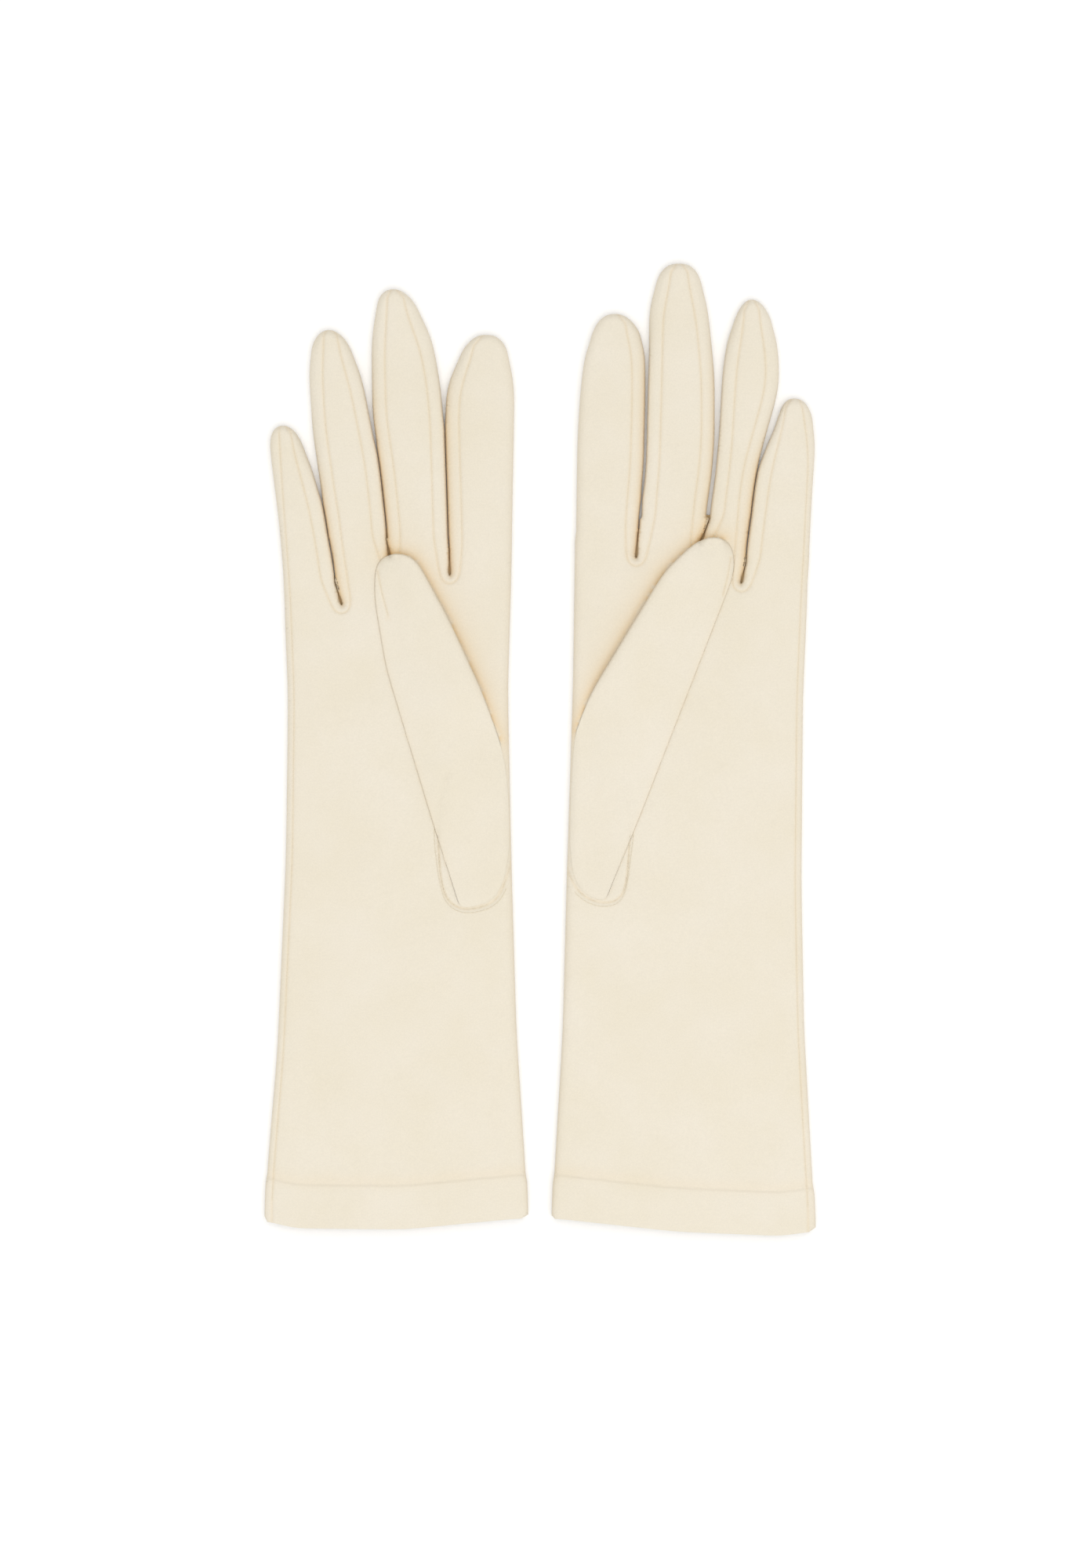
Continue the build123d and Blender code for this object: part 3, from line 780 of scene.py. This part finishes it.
def build_glove(glove):
    name, sign = glove.name, glove.sign
    cuts = []
    for f, (left, right) in zip(glove.fingers, zip([None] + glove.slits, glove.slits + [None])):
        x0 = np.interp(f.cut, *left) if left else glove.outline[:, 0].min() - 1 * MM
        x1 = np.interp(f.cut, *right) if right else glove.outline[:, 0].max() + 1 * MM
        cuts.append(np.array([(x0, f.cut), (x1, f.cut)]))
    hem = glove.mouth + (0, HEM)
    hem[0, 0] -= 6 * MM
    hem[-1, 0] += 6 * MM
    lines = glove.fork_seams + [glove.side_seam, glove.thumb_u, hem] + cuts
    flat, tris = triangulate(glove.outline, lines, 1.6 * MM)
    pairs = np.sort(np.concatenate([tris[:, [0, 1]], tris[:, [1, 2]], tris[:, [2, 0]]]), 1)
    edge, times = np.unique(pairs, axis=0, return_counts=True)
    rim = np.zeros(len(flat), bool)
    rim[edge[times == 1].ravel()] = True
    glove.measure(flat)
    top, bottom = glove.top(flat), glove.bottom(flat)
    shared = rim & (glove.d_edge < 0.02 * MM)
    bottom[shared] = top[shared] = (top[shared] + bottom[shared]) / 2
    count = len(flat)
    co = np.concatenate([lift(glove, flat, top), lift(glove, flat, bottom)])
    upper = tris if sign > 0 else tris[:, ::-1]
    below = np.where(shared[upper], upper, upper + count)[:, ::-1]
    normals = normals_of(co, np.concatenate([upper, below]))
    # painted shade on the palm-side cloth, and a faint painted shade near the edges of the back
    painted_shade = np.concatenate([glove.painted_shade(flat), 0.1 * np.exp(-glove.d_edge / (0.8 * MM))])

    centre = flat[tris].mean(1)
    number = glove.finger_of(centre)
    fork = [inside(centre, region) for region in glove.fork_regions]
    patch = inside(centre, glove.patch)
    beside = centre[:, 0] < np.interp(centre[:, 1], glove.side_seam[:, 1], glove.side_seam[:, 0])
    in_hem = centre[:, 1] < np.interp(centre[:, 0], hem[:, 0], hem[:, 1])
    any_fork = fork[0] | fork[1] | fork[2]
    hand = number == ON_HAND

    def piece(node, top_mask, bottom_mask, finger=None):
        chosen = np.concatenate([upper[top_mask], below[bottom_mask]])
        obj, area = cloth_piece(f"{name}_{node}_cloth", co, chosen, normals, painted_shade)
        follow(obj, glove, finger)
        declare(f"{name}_{node}")

    none = np.zeros(len(tris), bool)
    piece("trank_hand", hand & ~any_fork & ~patch, hand)
    piece("fourchette_crotches", hand & any_fork, none)
    piece("thumb_gusset", hand & patch, none)
    for i, f in enumerate(glove.fingers):
        own = number == i
        if i == 0:
            piece("pinky_palm_tab", own & ~beside & ~fork[0], none, f)
            piece("pinky_back_tab", own & beside, own, f)
            piece("pinky_fourchette", own & fork[0], none, f)
        elif i < 3:
            piece(f"{f.name}_palm_tab", own & ~any_fork, none, f)
            piece(f"{f.name}_back_tab", none, own, f)
            piece(f"{f.name}_fourchette_little_side", own & fork[i - 1], none, f)
            piece(f"{f.name}_fourchette_thumb_side", own & fork[i], none, f)
        else:
            piece("index_tab", own & ~fork[2], own, f)
            piece("index_fourchette", own & fork[2], none, f)

    # each fourchette folds under its slit
    for i, (y, x) in enumerate(glove.slits):
        at = np.linspace(glove.forks[i][1] - 1.2 * MM, glove.forks[i][1] + 11 * MM, FOLD_ROWS)
        across = np.linspace(-1.5 * MM, 1.5 * MM, FOLD_COLUMNS)
        grid = np.array([(np.interp(v, y, x) + u, v) for v in at for u in across])
        sag = 0.6 * MM + 0.9 * MM * np.tile((across / (1.5 * MM)) ** 2, len(at))
        corner = np.array([k * FOLD_COLUMNS + c
                           for k in range(FOLD_ROWS - 1) for c in range(FOLD_COLUMNS - 1)])
        quads = np.stack([corner, corner + 1, corner + FOLD_COLUMNS + 1, corner + FOLD_COLUMNS], 1)
        tri = np.concatenate([quads[:, [0, 1, 2]], quads[:, [0, 2, 3]]])
        tri = tri if sign > 0 else tri[:, ::-1]
        points = lift(glove, grid, sag)
        # the fold under each slit is coloured with strong painted shade
        fold, _ = cloth_piece(f"{name}_fourchette_fold_{i + 1}", points, tri, normals_of(points, tri),
                              np.full(len(points), 0.8), 0.2 * MM)
        follow(fold, glove, None)

    # turned-in hem: the inner layer of the cuff, and the row that holds it
    lining = np.concatenate([upper[in_hem], below[in_hem]])
    obj, area = cloth_piece(f"{name}_cuff_hem_cloth", co - normals * 0.62 * MM, lining, normals, painted_shade)
    follow(obj, glove, None)
    declare(f"{name}_cuff_hem")
    row = resample(np.array([hem[3], hem[-4]]) - (0, 1.5 * MM), 0.5 * MM)
    row[:, 1] = np.interp(row[:, 0], hem[:, 0], hem[:, 1]) - 1.5 * MM
    glove.measure(row)
    placed = [lift(glove, row, glove.top(row) - 0.56 * MM), lift(glove, row, glove.bottom(row) + 0.56 * MM)]
    obj = stitches(f"{name}_hem_thread_stitches", placed, 4.0 * MM, 1.2 * MM, 0.12 * MM)
    follow(obj, glove, None)
    declare(f"{name}_hem_thread")

    # threads in the seams
    cuts_at = [f.cut for f in glove.fingers]
    side = resample(glove.side_seam[2:-1], 0.5 * MM)
    seam_stitches(glove, f"{name}_side_seam_thread", [side[side[:, 1] < cuts_at[0]]])
    seams = {f.name: [] for f in glove.fingers}
    seams["pinky"].append(side[side[:, 1] >= cuts_at[0]])
    crotch = []
    for i, line in enumerate(glove.fork_seams):
        fine = resample(line[1:-1], 0.5 * MM)
        whose = glove.finger_of(fine)
        crotch += part_of(fine, whose == ON_HAND)
        for k in (i, i + 1):
            seams[FINGERS[k]] += part_of(fine, whose == k)
    seam_stitches(glove, f"{name}_fourchette_crotch_thread", crotch)
    for f in glove.fingers:
        seam_stitches(glove, f"{f.body}_seam_thread", seams[f.name], f)
    dots = glove.thumb_u - glove.centre_of_u
    dots = glove.thumb_u + dots / np.linalg.norm(dots, axis=1)[:, None] * 1.5 * MM
    dots = dots[inside(dots, glove.outline)]
    seam_stitches(glove, f"{name}_thumb_set_in_thread", [glove.thumb_u[8:-8], dots[12:-6]])
    build_thumb(glove)


# ------------------------------------------------------------------ thumb

def build_thumb(glove):
    name, sign = glove.name, glove.sign
    flat, tris = triangulate(glove.thumb_line, [glove.thumb_seam], 1.5 * MM)
    glove.measure(flat)
    palm = glove.top(flat)
    low_edge, high_edge = glove.thumb_edges
    d_low, d_high = distance_to(flat, [low_edge]), distance_to(flat, [high_edge])
    d_free = np.minimum(d_low, d_high)
    d_root = distance_to(flat, [glove.thumb_root])
    d_seam = distance_to(flat, [glove.thumb_seam])
    part = d_low / (d_low + d_high + 1e-9)
    root = step01((d_root - 0.3 * MM) / (30 * MM))
    height = (0.9 + 3.7 * step01(part)) * MM * root + 0.1 * MM
    roll = np.sqrt(np.maximum(0, 1 - (1 - np.clip(d_free / (2.4 * MM), 0, 1)) ** 2))
    under = 0.06 * MM + 1.3 * MM * step01((part - 0.55) / 0.45) * root
    edge = under + (height - under) * 0.45
    top = palm + edge + (height - edge) * roll
    top += 0.5 * MM * (1 - np.exp(-d_free / (8 * MM))) * root
    top += undulation(flat, 5 if sign > 0 else 9, 0.3 * MM) * step01(d_free / (10 * MM)) * root
    top -= 0.3 * MM * np.exp(-((d_seam / (0.45 * MM)) ** 2))
    bottom = palm + edge + (under - edge) * roll
    sunk = 0.32 * MM * np.exp(-((d_root / (1.6 * MM)) ** 2))
    top -= sunk
    bottom -= sunk
    pairs = np.sort(np.concatenate([tris[:, [0, 1]], tris[:, [1, 2]], tris[:, [2, 0]]]), 1)
    edges, times = np.unique(pairs, axis=0, return_counts=True)
    shared = np.zeros(len(flat), bool)
    shared[edges[times == 1].ravel()] = True
    bottom[shared] = top[shared] = (top[shared] + bottom[shared]) / 2
    count = len(flat)
    co = np.concatenate([lift(glove, flat, top), lift(glove, flat, bottom)])
    upper = tris if sign > 0 else tris[:, ::-1]
    below = np.where(shared[upper], upper, upper + count)[:, ::-1]
    faces = np.concatenate([upper, below])
    # painted shade along the thumb's seam and near its free edges
    painted_warm_shade = 0.14 * np.exp(-((d_seam / (0.5 * MM)) ** 2)) + 0.12 * np.exp(-d_free / (0.8 * MM)) * root
    obj, area = cloth_piece(f"{name}_thumb_stall_cloth", co, faces, normals_of(co, faces), np.tile(painted_warm_shade, 2))
    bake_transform(obj)
    declare(f"{name}_thumb_stall")
    tree = KDTree(len(flat))
    for i, p in enumerate(flat):
        tree.insert((p[0], p[1], 0), i)
    tree.balance()
    seam = resample(glove.thumb_seam, 0.5 * MM)
    z = np.array([top[tree.find((p[0], p[1], 0))[1]] for p in seam])
    obj = stitches(f"{name}_thumb_seam_thread_stitches", [lift(glove, seam, z + STITCH_PROUD)], *STITCH)
    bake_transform(obj)
    declare(f"{name}_thumb_seam_thread")


for side_name in ("right", "left"):
    build_glove(Glove(side_name))

# ------------------------------------------------------------------ floor and light

floor_mesh = bpy.data.meshes.new("floor")
floor_mesh.from_pydata([(-3, -3, 0), (3, -3, 0), (3, 3, 0), (-3, 3, 0)], [], [(0, 1, 2, 3)])
floor = bpy.data.objects.new("floor", floor_mesh)
scene.collection.objects.link(floor)
paper = bpy.data.materials.new("paper")
paper.use_nodes = True
paper.node_tree.nodes["Principled BSDF"].inputs["Base Color"].default_value = (0.97, 0.97, 0.97, 1)
paper.node_tree.nodes["Principled BSDF"].inputs["Roughness"].default_value = 0.9
paper.node_tree.nodes["Principled BSDF"].inputs["Specular IOR Level"].default_value = 0.1
floor_mesh.materials.append(paper)

world = bpy.data.worlds.new("world")
world.use_nodes = True
world.node_tree.nodes["Background"].inputs["Color"].default_value = (1, 1, 1, 1)
world.node_tree.nodes["Background"].inputs["Strength"].default_value = 0.73
scene.world = world

soft = bpy.data.lights.new("soft", "AREA")
soft.shape = "DISK"
soft.size = 2.4
soft.energy = 22
soft.color = (1, 0.985, 0.96)
soft_object = bpy.data.objects.new("soft", soft)
soft_object.location = (0.16, -0.42, 1.9)
soft_object.rotation_euler = (Vector((0, 0, 0)) - soft_object.location).to_track_quat("-Z", "Y").to_euler()
scene.collection.objects.link(soft_object)
